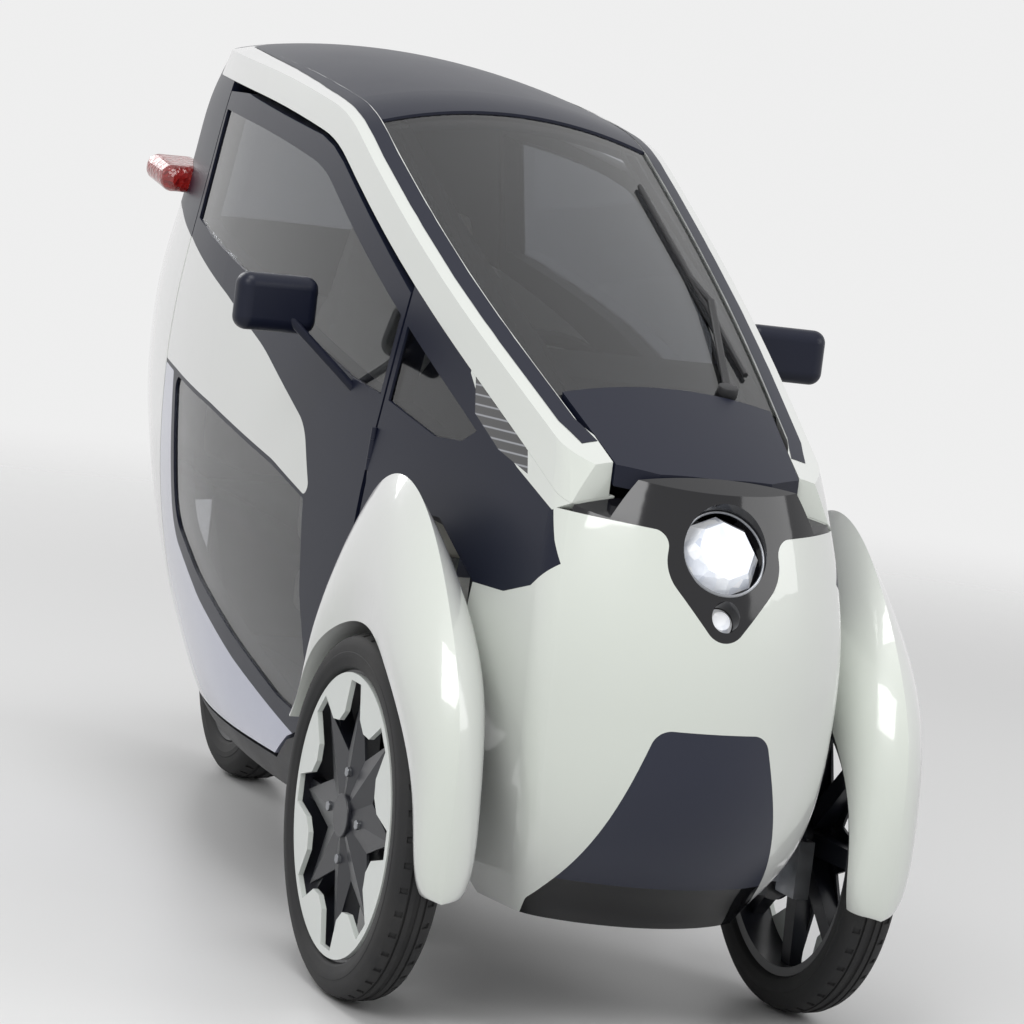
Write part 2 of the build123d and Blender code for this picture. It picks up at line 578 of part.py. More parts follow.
# steering wheel and column
WHEEL_RAKE = 25.0
HAND_X, HAND_Z = -480.0, 850.0
column_dir = Vector(math.cos(math.radians(WHEEL_RAKE)), 0, -math.sin(math.radians(WHEEL_RAKE)))
hand_plane = Plane(origin=(HAND_X, 0, HAND_Z), x_dir=(0, 1, 0), z_dir=column_dir)
rim_section = Plane.XZ * (Pos(160, 0) * RegularPolygon(13, 8))
grip = revolve(rim_section, Axis.Z, 360)
arms_hand = Box(300, 26, 12) + Pos(0, -75, 0) * Box(24, 150, 12)
grip = grip + arms_hand + Cylinder(34, 26)
place("steering_wheel", hand_plane * grip)
column_start = Vector(HAND_X, 0, HAND_Z) + column_dir * (13 + CLEAR)
column = rod(tuple(column_start), tuple(column_start + column_dir * 240), 22)
place("steering_column", column - slab(dash_side, -165, 165) - dash_wide)

# rear fork and mudguard
LEG_Y0, LEG_Y1 = REAR_TYRE_W / 2 + 6, REAR_TYRE_W / 2 + 22
fork = block(-1760, -1640, -LEG_Y1, LEG_Y1, 500, 530) + Pos(-WHEELBASE, 0, 557) * Cylinder(18, 60)
for sign in (1, -1):
    leg = block(-WHEELBASE - 22, -WHEELBASE + 22, sign * LEG_Y0, sign * LEG_Y1, REAR_TYRE_R - 24, 505)
    fork = fork + leg
fork = fork + Pos(-WHEELBASE, 0, REAR_TYRE_R) * Rot(90, 0, 0) * Cylinder(AXLE_R, 2 * LEG_Y1)
guard = Rot(90, 0, 0) * (Cylinder(254, 140) - Cylinder(248, 160))
guard = Pos(-WHEELBASE, 0, REAR_TYRE_R) * guard & block(-2100, -1720, -70, 70, 280, 520)
place("rear_fork", fork + (guard - block(-1760, -1600, -200, 200, 500, 600)))
print("cabin made")

# mirror, on a stalk from the right door's belt
stalk = rod((-420, -308, 874), (-452, -430, 985), 7)
mirror_head = Pos(-464, -450, 1004) * Rot(0, 0, 8) * Box(46, 140, 92)
mirror_head = fillet(mirror_head.edges(), 21)
door_skin = door_skin + (stalk - block(-500, -400, -300, 0, 800, 1000)) + mirror_head

# right door hinges on the skin line: the body's knuckle and pin between the door's two
HINGE_X = DOOR_FRONT_X + SHUT_GAP / 2
HINGE_LOW, HINGE_HIGH = Vector(HINGE_X, -334, 480), Vector(HINGE_X, -317.5, 800)
HINGE_DIR = (HINGE_HIGH - HINGE_LOW).normalized()
KNUCKLE_R, PIN_R, KNUCKLE_HALF, HINGE_HALF = 5.5, 2.5, 15.0, 34.0
body_side = cowl + screen_frame
# the jamb is eased between the hinges, where the skin bulges past the hinge line
JAMB_X, JAMB_Y = -292.0, -322.0
body_side = body_side - block(-300, JAMB_X, -345, JAMB_Y, 515, 765)


def along_hinge(start, low, high, r):
    return rod(tuple(start + HINGE_DIR * low), tuple(start + HINGE_DIR * high), r)


for start in (HINGE_LOW, HINGE_HIGH):
    pocket = along_hinge(start, -HINGE_HALF - 1, HINGE_HALF + 1, KNUCKLE_R + 1)
    middle = along_hinge(start, -KNUCKLE_HALF, KNUCKLE_HALF, KNUCKLE_R)
    pin = along_hinge(start, -HINGE_HALF, HINGE_HALF, PIN_R)
    bore = along_hinge(start, -HINGE_HALF - 2, HINGE_HALF + 2, PIN_R + RUN_FIT)
    gap = along_hinge(start, -KNUCKLE_HALF - CLEAR, KNUCKLE_HALF + CLEAR, KNUCKLE_R + 1)
    outer = along_hinge(start, -HINGE_HALF, HINGE_HALF, KNUCKLE_R) - gap - bore
    body_side = (body_side - (pocket - along_hinge(start, -KNUCKLE_HALF - CLEAR, KNUCKLE_HALF
                                                   + CLEAR, KNUCKLE_R + 2))) + middle + pin
    door_skin = ((door_skin - gap) + outer) - bore

# tail lamps
lamp_pod = Pos(-1660, -284, 1165) * Rot(0, 12, 6) * Box(120, 104, 52)
lamp_pod = fillet(lamp_pod.edges(), 24)
tail_lamps = lamp_pod - body_form(-CLEAR)
place("body_rails", both(rail), both(rail_forks))
place("marker_lamps", both(marker_lamps))
place("cowl_sides", both(body_side))
place("tail_lamps", both(tail_lamps))
place("quarter_glass", both((pane_layer & quarter_hole) - body_side))
place("nose_shell", nose)
place("nose_grille", grille)
LAMP_X, LAMP_Z, LAMP_TILT = 340.0, 748.0, 28.0
lamp_plane = Plane(origin=(LAMP_X, 0, LAMP_Z), x_dir=(0, 1, 0),
                   z_dir=(math.cos(math.radians(LAMP_TILT)), 0, math.sin(math.radians(LAMP_TILT))))
bowl = extrude(lamp_plane * Circle(66), amount=60)
SMALL_X, SMALL_Z, SMALL_R = 366.0, 656.0, 21.0
small_plane = Plane(origin=(SMALL_X, 0, SMALL_Z), x_dir=(0, 1, 0), z_dir=lamp_plane.z_dir)
small_bowl = extrude(small_plane * Circle(SMALL_R + 1), amount=40)
place("headlamp_pod", pod - bowl - small_bowl)
lens = loft([lamp_plane * RegularPolygon(62, 8), lamp_plane.offset(26) * RegularPolygon(44, 8)])
small = loft([small_plane * Circle(SMALL_R), small_plane.offset(9) * Circle(SMALL_R - 7)])
place("headlamp_lens", lens, small)
place("hood_panel", hood - pod)
place("windscreen", screen)
place("screen_surround", surround)
place("roof_panel", roof)
place("rear_pillars", both(pillar), tail_head)
place("rear_quarters", both(quarter))
# carrier for the number plate, on a block that meets the tail
bracket = block(PLATE_X, -1900, -PLATE_BLOCK, PLATE_BLOCK, PLATE_Z - 40, PLATE_Z + 40) - OUTER
plate = block(PLATE_X - PLATE_T, PLATE_X, -PLATE_W / 2, PLATE_W / 2, PLATE_Z - PLATE_H / 2,
              PLATE_Z + PLATE_H / 2)
plate = fillet(plate.edges().filter_by(Axis.X), 8)
for y in (-PLATE_HOLE_Y, PLATE_HOLE_Y):
    plate = plate - rod((PLATE_X - 30, y, PLATE_Z), (PLATE_X + 30, y, PLATE_Z), PLATE_HOLE_R)
place("tail_panel", tail_panel + bracket)
place("plate_carrier", plate)
place("rear_window", rear_window)
place("sill_covers", both(sills))
for side, way in (("right", lambda s: s), ("left", left)):
    place(f"{side}_door_skin", way(door_skin))
    place(f"{side}_door_arm", way(door_arm))
    place(f"{side}_door_low_panel", way(door_low))
    place(f"{side}_door_glass", *[way(p - door_skin) for p in door_panes])

os.makedirs("parts", exist_ok=True)
for name, shape in SHAPES.items():
    export_step(shape, f"parts/{name}.step")
print(len(SHAPES), "nodes written")
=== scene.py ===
import bpy
import json
import math
from mathutils import Vector, Matrix


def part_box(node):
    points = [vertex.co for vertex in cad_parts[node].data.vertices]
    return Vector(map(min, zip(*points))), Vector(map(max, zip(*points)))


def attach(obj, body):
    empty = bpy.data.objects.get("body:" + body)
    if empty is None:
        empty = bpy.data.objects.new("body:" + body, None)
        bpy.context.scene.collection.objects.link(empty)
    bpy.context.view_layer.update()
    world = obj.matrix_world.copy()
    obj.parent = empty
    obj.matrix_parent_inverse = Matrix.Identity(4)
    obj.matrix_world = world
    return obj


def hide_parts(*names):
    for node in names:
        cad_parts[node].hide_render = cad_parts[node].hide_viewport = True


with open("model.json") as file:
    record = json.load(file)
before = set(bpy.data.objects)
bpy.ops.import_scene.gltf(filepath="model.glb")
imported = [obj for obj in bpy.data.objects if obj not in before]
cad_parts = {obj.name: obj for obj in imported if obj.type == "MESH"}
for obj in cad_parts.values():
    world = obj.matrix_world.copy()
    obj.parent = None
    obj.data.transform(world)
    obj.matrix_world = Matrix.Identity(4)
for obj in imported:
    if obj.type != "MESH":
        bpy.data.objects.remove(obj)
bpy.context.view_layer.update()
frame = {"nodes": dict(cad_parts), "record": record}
nodes = frame["nodes"]
print("frame loaded:", len(nodes), "nodes")


def newGroup(name, inputs, outputs):
    group = bpy.data.node_groups.new(name, "ShaderNodeTree")
    for label, kind, value in inputs:
        socket = group.interface.new_socket(label, in_out="INPUT", socket_type=kind)
        socket.default_value = value
    for label, kind in outputs:
        group.interface.new_socket(label, in_out="OUTPUT", socket_type=kind)
    ins = group.nodes.new("NodeGroupInput")
    outs = group.nodes.new("NodeGroupOutput")
    return group, ins, outs


def addNode(tree, kind, **values):
    node = tree.nodes.new(kind)
    for key, value in values.items():
        setattr(node, key, value)
    return node


def wireMath(tree, operation, a, b=None):
    node = addNode(tree, "ShaderNodeMath", operation=operation)
    for index, value in enumerate((a, b)):
        if value is None:
            continue
        if isinstance(value, (int, float)):
            node.inputs[index].default_value = value
        else:
            tree.links.new(value, node.inputs[index])
    return node.outputs[0]


def makeDustGroup():
    # a light settled dust that varies over the surface, a mask from 0 to 1
    group, ins, outs = newGroup("settledDust", [("Scale", "NodeSocketFloat", 6.0),
                                                ("Amount", "NodeSocketFloat", 0.3)],
                                [("Mask", "NodeSocketFloat")])
    coords = addNode(group, "ShaderNodeTexCoord")
    noise = addNode(group, "ShaderNodeTexNoise")
    noise.inputs["Detail"].default_value = 6.0
    noise.inputs["Roughness"].default_value = 0.62
    group.links.new(coords.outputs["Object"], noise.inputs["Vector"])
    group.links.new(ins.outputs["Scale"], noise.inputs["Scale"])
    soft = addNode(group, "ShaderNodeMapRange")
    soft.inputs["From Min"].default_value = 0.45
    soft.inputs["From Max"].default_value = 0.75
    group.links.new(noise.outputs["Fac"], soft.inputs["Value"])
    mask = wireMath(group, "MULTIPLY", soft.outputs[0], ins.outputs["Amount"])
    group.links.new(mask, outs.inputs["Mask"])
    return group


def makeGrainGroup():
    # fine moulded grain, as a height
    group, ins, outs = newGroup("mouldGrain", [("Scale", "NodeSocketFloat", 900.0)],
                                [("Height", "NodeSocketFloat"), ("Shade", "NodeSocketFloat")])
    coords = addNode(group, "ShaderNodeTexCoord")
    cells = addNode(group, "ShaderNodeTexVoronoi")
    cells.feature = "SMOOTH_F1"
    noise = addNode(group, "ShaderNodeTexNoise")
    noise.inputs["Scale"].default_value = 9.0
    group.links.new(coords.outputs["Object"], cells.inputs["Vector"])
    group.links.new(coords.outputs["Object"], noise.inputs["Vector"])
    group.links.new(ins.outputs["Scale"], cells.inputs["Scale"])
    group.links.new(cells.outputs["Distance"], outs.inputs["Height"])
    group.links.new(noise.outputs["Fac"], outs.inputs["Shade"])
    return group


def makeFlakeGlintGroup():
    # metallic flakes under lacquer, as a value near 1; the paint lifts its colour in these flecks,
    # painted glints
    group, ins, outs = newGroup("paintFlakeGlint", [("Scale", "NodeSocketFloat", 2500.0),
                                               ("Amount", "NodeSocketFloat", 0.1)],
                                [("Value", "NodeSocketFloat")])
    coords = addNode(group, "ShaderNodeTexCoord")
    cells = addNode(group, "ShaderNodeTexVoronoi")
    group.links.new(coords.outputs["Object"], cells.inputs["Vector"])
    group.links.new(ins.outputs["Scale"], cells.inputs["Scale"])
    bright = addNode(group, "ShaderNodeSeparateColor")
    group.links.new(cells.outputs["Color"], bright.inputs["Color"])
    scaled = wireMath(group, "MULTIPLY", bright.outputs[0], ins.outputs["Amount"])
    group.links.new(scaled, outs.inputs["Value"])
    return group


def makeWeaveGroup():
    # a plain weave of crossed yarns, as a height and a shade
    group, ins, outs = newGroup("seatWeave", [("Scale", "NodeSocketFloat", 420.0)],
                                [("Height", "NodeSocketFloat"), ("Shade", "NodeSocketFloat")])
    coords = addNode(group, "ShaderNodeTexCoord")
    split = addNode(group, "ShaderNodeSeparateXYZ")
    group.links.new(coords.outputs["Object"], split.inputs[0])
    waves = []
    for axis in (0, 1, 2):
        scaled = wireMath(group, "MULTIPLY", split.outputs[axis], ins.outputs["Scale"])
        scaled = wireMath(group, "MULTIPLY", scaled, math.tau)
        waves.append(wireMath(group, "SINE", scaled))
    first = wireMath(group, "MULTIPLY", waves[0], waves[1])
    second = wireMath(group, "MULTIPLY", waves[1], waves[2])
    both = wireMath(group, "ADD", first, second)
    half = wireMath(group, "MULTIPLY", both, 0.5)
    lifted = wireMath(group, "ADD", half, 0.5)
    noise = addNode(group, "ShaderNodeTexNoise")
    noise.inputs["Scale"].default_value = 30.0
    group.links.new(coords.outputs["Object"], noise.inputs["Vector"])
    group.links.new(lifted, outs.inputs["Height"])
    group.links.new(noise.outputs["Fac"], outs.inputs["Shade"])
    return group


groups = {"dust": makeDustGroup(), "grain": makeGrainGroup(), "flakeGlint": makeFlakeGlintGroup(),
          "weave": makeWeaveGroup()}
print("shader groups made")


def useGroup(tree, name, **values):
    node = tree.nodes.new("ShaderNodeGroup")
    node.node_tree = groups[name]
    for key, value in values.items():
        node.inputs[key].default_value = value
    return node


def newMaterial(name, color, rough, metal=0.0):
    material = bpy.data.materials.new(name)
    material.use_nodes = True
    tree = material.node_tree
    shader = tree.nodes["Principled BSDF"]
    shader.inputs["Base Color"].default_value = (*color, 1.0)
    shader.inputs["Roughness"].default_value = rough
    shader.inputs["Metallic"].default_value = metal
    return material, tree, shader


def mixColor(tree, factor, first, second):
    mix = addNode(tree, "ShaderNodeMix", data_type="RGBA")
    tree.links.new(factor, mix.inputs["Factor"])
    for index, value in ((6, first), (7, second)):
        if isinstance(value, tuple):
            mix.inputs[index].default_value = (*value, 1.0)
        else:
            tree.links.new(value, mix.inputs[index])
    return mix.outputs[2]


def paint(name, settings):
    # lacquered body colour whose tint turns a little at grazing angles
    material, tree, shader = newMaterial(name, settings["color"], settings["rough"],
                                         settings["metal"])
    facing = addNode(tree, "ShaderNodeLayerWeight")
    facing.inputs["Blend"].default_value = settings["turn"]
    body = mixColor(tree, facing.outputs["Facing"], settings["color"], settings["edge"])
    dust = useGroup(tree, "dust", Scale=3.0, Amount=0.06)
    flakeGlints = useGroup(tree, "flakeGlint", Scale=1800.0, Amount=settings["flakeGlint"])
    # dust and flakes lift the colour toward one lighter colour: real dust, and painted glints on
    # the flakes
    mask = wireMath(tree, "ADD", dust.outputs["Mask"], flakeGlints.outputs["Value"])
    tree.links.new(mixColor(tree, mask, body, settings["dustAndGlint"]), shader.inputs["Base Color"])
    rough = wireMath(tree, "ADD", dust.outputs["Mask"], settings["rough"])
    tree.links.new(rough, shader.inputs["Roughness"])
    shader.inputs["Coat Weight"].default_value = settings["coat"]
    shader.inputs["Coat Roughness"].default_value = 0.03
    return material


def plastic(name, settings):
    # moulded plastic with a fine grain and faint scuffs
    material, tree, shader = newMaterial(name, settings["color"], settings["rough"])
    shader.inputs["Specular IOR Level"].default_value = settings.get("shine", 0.5)
    grain = useGroup(tree, "grain", Scale=settings["grain"])
    dust = useGroup(tree, "dust", Scale=5.0, Amount=settings["dust"])
    lighter = tuple(min(1.0, c * 1.6 + 0.02) for c in settings["color"])
    tree.links.new(mixColor(tree, dust.outputs["Mask"], settings["color"], lighter),
                   shader.inputs["Base Color"])
    rough = wireMath(tree, "ADD", dust.outputs["Mask"], settings["rough"])
    tree.links.new(rough, shader.inputs["Roughness"])
    bump = addNode(tree, "ShaderNodeBump")
    bump.inputs["Strength"].default_value = settings["bump"]
    bump.inputs["Distance"].default_value = 0.0004
    tree.links.new(grain.outputs["Height"], bump.inputs["Height"])
    tree.links.new(bump.outputs[0], shader.inputs["Normal"])
    return material


def tintedGlass(name, settings):
    # a thin tinted pane: the coat carries the reflection
    material, tree, shader = newMaterial(name, settings["color"], 0.02)
    dust = useGroup(tree, "dust", Scale=4.0, Amount=0.04)
    lighter = tuple(min(1.0, c + 0.1) for c in settings["color"])
    tree.links.new(mixColor(tree, dust.outputs["Mask"], settings["color"], lighter),
                   shader.inputs["Base Color"])
    shader.inputs["Transmission Weight"].default_value = 1.0
    shader.inputs["IOR"].default_value = 1.03
    shader.inputs["Coat Weight"].default_value = 1.0
    shader.inputs["Coat Roughness"].default_value = 0.01
    return material


def fabric(name, settings):
    material, tree, shader = newMaterial(name, settings["color"], 0.85)
    weave = useGroup(tree, "weave", Scale=settings["yarns"])
    darker = tuple(c * 0.8 for c in settings["color"])
    tree.links.new(mixColor(tree, weave.outputs["Shade"], settings["color"], darker),
                   shader.inputs["Base Color"])
    bump = addNode(tree, "ShaderNodeBump")
    bump.inputs["Strength"].default_value = 0.15
    bump.inputs["Distance"].default_value = 0.0003
    tree.links.new(weave.outputs["Height"], bump.inputs["Height"])
    tree.links.new(bump.outputs[0], shader.inputs["Normal"])
    shader.inputs["Sheen Weight"].default_value = 0.3
    return material


def metal(name, settings):
    material, tree, shader = newMaterial(name, settings["color"], settings["rough"], 1.0)
    dust = useGroup(tree, "dust", Scale=20.0, Amount=0.18)
    grain = useGroup(tree, "grain", Scale=1400.0)
    rough = wireMath(tree, "ADD", dust.outputs["Mask"], settings["rough"])
    tree.links.new(rough, shader.inputs["Roughness"])
    darker = tuple(c * 0.7 for c in settings["color"])
    tree.links.new(mixColor(tree, grain.outputs["Shade"], settings["color"], darker),
                   shader.inputs["Base Color"])
    return material


def rubber(name, settings):
    material, tree, shader = newMaterial(name, settings["color"], 0.75)
    dust = useGroup(tree, "dust", Scale=8.0, Amount=0.35)
    grain = useGroup(tree, "grain", Scale=700.0)
    tree.links.new(mixColor(tree, dust.outputs["Mask"], settings["color"], settings["worn"]),
                   shader.inputs["Base Color"])
    bump = addNode(tree, "ShaderNodeBump")
    bump.inputs["Strength"].default_value = 0.3
    bump.inputs["Distance"].default_value = 0.0005
    tree.links.new(grain.outputs["Height"], bump.inputs["Height"])
    tree.links.new(bump.outputs[0], shader.inputs["Normal"])
    return material


def lampLens(name, settings):
    # cut lens: bumped facets painted in tones from light to shaded and glowing from bright to dim,
    # painted highlights for facets that catch the light, over a soft glow
    material, tree, shader = newMaterial(name, settings["color"], 0.05)
    coords = addNode(tree, "ShaderNodeTexCoord")
    cells = addNode(tree, "ShaderNodeTexVoronoi")
    cells.inputs["Scale"].default_value = settings["facets"]
    tree.links.new(coords.outputs["Object"], cells.inputs["Vector"])
    split = addNode(tree, "ShaderNodeSeparateColor")
    tree.links.new(cells.outputs["Color"], split.inputs["Color"])
    # painted highlights: each facet gets its own tone between light and shaded and its own glow
    # between bright and dim
    tree.links.new(mixColor(tree, split.outputs[0], settings["color"], settings["shade"]),
                   shader.inputs["Base Color"])
    tree.links.new(mixColor(tree, split.outputs[1], settings["glow"], settings["dim"]),
                   shader.inputs["Emission Color"])
    bump = addNode(tree, "ShaderNodeBump")
    bump.inputs["Strength"].default_value = 0.6
    bump.inputs["Distance"].default_value = 0.004
    tree.links.new(cells.outputs["Distance"], bump.inputs["Height"])
    tree.links.new(bump.outputs[0], shader.inputs["Normal"])
    shader.inputs["Coat Weight"].default_value = 1.0
    shader.inputs["Emission Strength"].default_value = settings["strength"]
    return material


def ribbedLamp(name, settings):
    # dark lens with slanted pale ribs behind it
    material, tree, shader = newMaterial(name, settings["color"], 0.08)
    coords = addNode(tree, "ShaderNodeTexCoord")
    ribs = addNode(tree, "ShaderNodeTexWave")
    ribs.bands_direction = "Z"
    ribs.inputs["Scale"].default_value = settings["ribs"]
    tree.links.new(coords.outputs["Object"], ribs.inputs["Vector"])
    edge = addNode(tree, "ShaderNodeMapRange")
    edge.inputs["From Min"].default_value = 0.86
    tree.links.new(ribs.outputs["Fac"], edge.inputs["Value"])
    tree.links.new(mixColor(tree, edge.outputs[0], settings["color"], settings["pale"]),
                   shader.inputs["Base Color"])
    shader.inputs["Coat Weight"].default_value = 1.0
    return material


def twoTone(name, settings):
    # satin paint above a height and gloss black below it
    material, tree, shader = newMaterial(name, settings["color"], settings["rough"])
    coords = addNode(tree, "ShaderNodeTexCoord")
    split = addNode(tree, "ShaderNodeSeparateXYZ")
    tree.links.new(coords.outputs["Object"], split.inputs[0])
    low = addNode(tree, "ShaderNodeMapRange")
    low.inputs["From Min"].default_value = settings["height"]
    low.inputs["From Max"].default_value = settings["height"] + 0.002
    tree.links.new(split.outputs["Z"], low.inputs["Value"])
    dust = useGroup(tree, "dust", Scale=5.0, Amount=0.06)
    upper = mixColor(tree, dust.outputs["Mask"], settings["color"], settings["dusty"])
    tree.links.new(mixColor(tree, low.outputs[0], settings["lower"], upper),
                   shader.inputs["Base Color"])
    rough = wireMath(tree, "MULTIPLY", low.outputs[0], settings["rough"])
    tree.links.new(wireMath(tree, "ADD", rough, 0.06), shader.inputs["Roughness"])
    return material


finishes = {
    "pearl_white": (paint, {"color": (0.68, 0.72, 0.66), "edge": (0.60, 0.58, 0.62), "rough": 0.28,
                            "metal": 0.0, "turn": 0.25, "flakeGlint": 0.05, "coat": 1.0,
                            "dustAndGlint": (0.85, 0.86, 0.84)}),
    # lilac_silver: darker and bluer than the pearl white, partly the sill's own silver paint and
    # partly painted shade and a painted reflection of lilac surroundings
    "lilac_silver": (paint, {"color": (0.40, 0.43, 0.55), "edge": (0.30, 0.30, 0.42),
                             "rough": 0.32, "metal": 0.35, "turn": 0.3, "flakeGlint": 0.12,
                             "coat": 1.0, "dustAndGlint": (0.75, 0.78, 0.86)}),
    "disc_white": (paint, {"color": (0.66, 0.70, 0.66), "edge": (0.6, 0.62, 0.62), "rough": 0.35,
                           "metal": 0.0, "turn": 0.2, "flakeGlint": 0.03, "coat": 0.6,
                           "dustAndGlint": (0.8, 0.8, 0.8)}),
    "night_blue": (plastic, {"color": (0.006, 0.008, 0.020), "rough": 0.36, "grain": 1500.0,
                             "bump": 0.05, "dust": 0.02, "shine": 0.28}),
    "gloss_black": (plastic, {"color": (0.006, 0.006, 0.008), "rough": 0.08, "grain": 1500.0,
                              "bump": 0.0, "dust": 0.03}),
    "black_plastic": (plastic, {"color": (0.014, 0.014, 0.016), "rough": 0.5, "grain": 700.0,
                                "bump": 0.3, "dust": 0.12}),
    "wheel_black": (plastic, {"color": (0.010, 0.011, 0.016), "rough": 0.3, "grain": 1200.0,
                              "bump": 0.05, "dust": 0.08}),
    "battery": (plastic, {"color": (0.03, 0.03, 0.035), "rough": 0.6, "grain": 500.0,
                          "bump": 0.3, "dust": 0.2}),
    "glass": (tintedGlass, {"color": (0.28, 0.29, 0.31)}),
    "lens": (lampLens, {"color": (0.9, 0.93, 0.96), "shade": (0.7, 0.75, 0.85),
                        "glow": (1.0, 1.0, 1.0), "dim": (0.35, 0.38, 0.45), "facets": 55.0,
                        "strength": 0.4}),
    "lamp_red": (lampLens, {"color": (0.26, 0.008, 0.008), "shade": (0.12, 0.004, 0.004),
                            "glow": (1.0, 0.05, 0.03), "dim": (0.3, 0.0, 0.0),
                            "facets": 120.0, "strength": 0.08}),
    "tyre": (rubber, {"color": (0.012, 0.012, 0.013), "worn": (0.045, 0.043, 0.040)}),
    "steel": (metal, {"color": (0.33, 0.34, 0.36), "rough": 0.32}),
    "cream_fabric": (fabric, {"color": (0.62, 0.60, 0.52), "yarns": 320.0}),
    "mirrorFace": (metal, {"color": (0.8, 0.82, 0.84), "rough": 0.02}),
    "markerRibs": (ribbedLamp, {"color": (0.008, 0.008, 0.01), "pale": (0.30, 0.31, 0.34),
                                "ribs": 22.0}),
    "grillePaint": (twoTone, {"color": (0.010, 0.013, 0.030), "dusty": (0.015, 0.018, 0.03),
                              "lower": (0.003, 0.003, 0.004), "rough": 0.3, "height": 0.252}),
    "screenGlow": (lampLens, {"color": (0.02, 0.03, 0.05), "shade": (0.01, 0.01, 0.02),
                              "glow": (0.1, 0.3, 0.6), "dim": (0.02, 0.05, 0.1),
                              "facets": 40.0, "strength": 0.3}),
}
materials = {name: make(name, settings) for name, (make, settings) in finishes.items()}
for entry in frame["record"]["subparts"]:
    node = nodes[entry["node"]]
    material = materials[entry["material_slot"]]
    if not node.material_slots:
        node.data.materials.append(material)
    for index in range(len(node.material_slots)):
        node.material_slots[index].material = material
for name, material in (("marker_lamps", "markerRibs"), ("nose_grille", "grillePaint")):
    nodes[name].material_slots[0].material = materials[material]
print("finishes placed on the frame")


mergeGap = 0.00005  # points nearer than this, in metres, are merged


def deselectAll():
    bpy.ops.object.select_all(action="DESELECT")


def settled(piece, name, material, body, *replaced):
    # the piece's place goes into its vertices, and it takes its finish and its body
    deselectAll()
    piece.select_set(True)
    bpy.context.view_layer.objects.active = piece
    bpy.ops.object.transform_apply(location=True, rotation=True, scale=True)
    piece.name = name
    piece.data.name = name
    piece.data.materials.clear()
    piece.data.materials.append(materials[material])
    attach(piece, body)
    if replaced:
        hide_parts(*replaced)
    return piece


def joined(parts):
    deselectAll()
    for part in parts:
        part.select_set(True)
    bpy.context.view_layer.objects.active = parts[0]
    bpy.ops.object.join()
    return bpy.context.object


def smoothed(piece, degrees):
    deselectAll()
    piece.select_set(True)
    bpy.context.view_layer.objects.active = piece
    bpy.ops.object.shade_smooth_by_angle(angle=math.radians(degrees))
    return piece


def applyAll(piece):
    deselectAll()
    piece.select_set(True)
    bpy.context.view_layer.objects.active = piece
    for modifier in list(piece.modifiers):
        bpy.ops.object.modifier_apply(modifier=modifier.name)


def drum(centre, radius, depth, axis, sides=32, bevel=0.0):
    # a round plate or pin whose axis lies along a direction
    deselectAll()
    turn = Vector(axis).to_track_quat("Z", "Y").to_euler()
    bpy.ops.mesh.primitive_cylinder_add(vertices=sides, radius=radius, depth=depth,
                                        location=centre, rotation=turn)
    piece = bpy.context.object
    if bevel:
        edge = piece.modifiers.new("edge", "BEVEL")
        edge.width = bevel
        edge.segments = 2
        applyAll(piece)
    return piece


def bar(start, end, radius, sides=12):
    start, end = Vector(start), Vector(end)
    return drum((start + end) / 2, radius, (end - start).length, end - start, sides)


def brick(low, high, bevel, lean=0.0):
    deselectAll()
    low, high = Vector(low), Vector(high)
    bpy.ops.mesh.primitive_cube_add(size=1, location=(low + high) / 2, scale=high - low,
                                    rotation=(0, math.radians(lean), 0))
    bpy.ops.object.transform_apply(location=True, rotation=True, scale=True)
    piece = bpy.context.object
    edge = piece.modifiers.new("edge", "BEVEL")
    edge.width = bevel
    edge.segments = 3
    applyAll(piece)
    return piece


def traced(points):
    # edges drawn through points one vertex after another, left in edit mode
    deselectAll()
    bpy.ops.mesh.primitive_plane_add(size=0.01)
    bpy.ops.object.mode_set(mode="EDIT")
    bpy.ops.mesh.select_mode(type="VERT")
    bpy.ops.mesh.select_all(action="SELECT")
    bpy.ops.mesh.merge(type="CENTER")
    bpy.ops.transform.translate(value=Vector(points[0]))
    for before, after in zip(points, points[1:]):
        step = Vector(after) - Vector(before)
        bpy.ops.mesh.extrude_region_move(TRANSFORM_OT_translate={"value": step})
    return bpy.context.object


def turned(profile, centre, steps):
    # a closed (radius, y) profile spun about the wheel's axle
    cx, cy, cz = centre
    points = [(cx + r, cy + y, cz) for r, y in profile]
    piece = traced(points + points[:1])
    bpy.ops.mesh.select_all(action="SELECT")
    bpy.ops.mesh.remove_doubles(threshold=mergeGap)
    bpy.ops.mesh.select_all(action="SELECT")
    bpy.ops.mesh.spin(steps=steps, angle=math.tau, center=centre, axis=(0, 1, 0))
    bpy.ops.mesh.select_all(action="SELECT")
    bpy.ops.mesh.remove_doubles(threshold=mergeGap)
    bpy.ops.mesh.normals_make_consistent(inside=False)
    bpy.ops.object.mode_set(mode="OBJECT")
    return piece


def chosenFaces(piece, test):
    # selects the faces whose centre passes the test, and opens edit mode
    bpy.ops.object.mode_set(mode="EDIT")
    bpy.ops.mesh.select_mode(type="FACE")
    bpy.ops.mesh.select_all(action="DESELECT")
    bpy.ops.object.mode_set(mode="OBJECT")
    for face in piece.data.polygons:
        face.select = test(face.center)
    bpy.ops.object.mode_set(mode="EDIT")


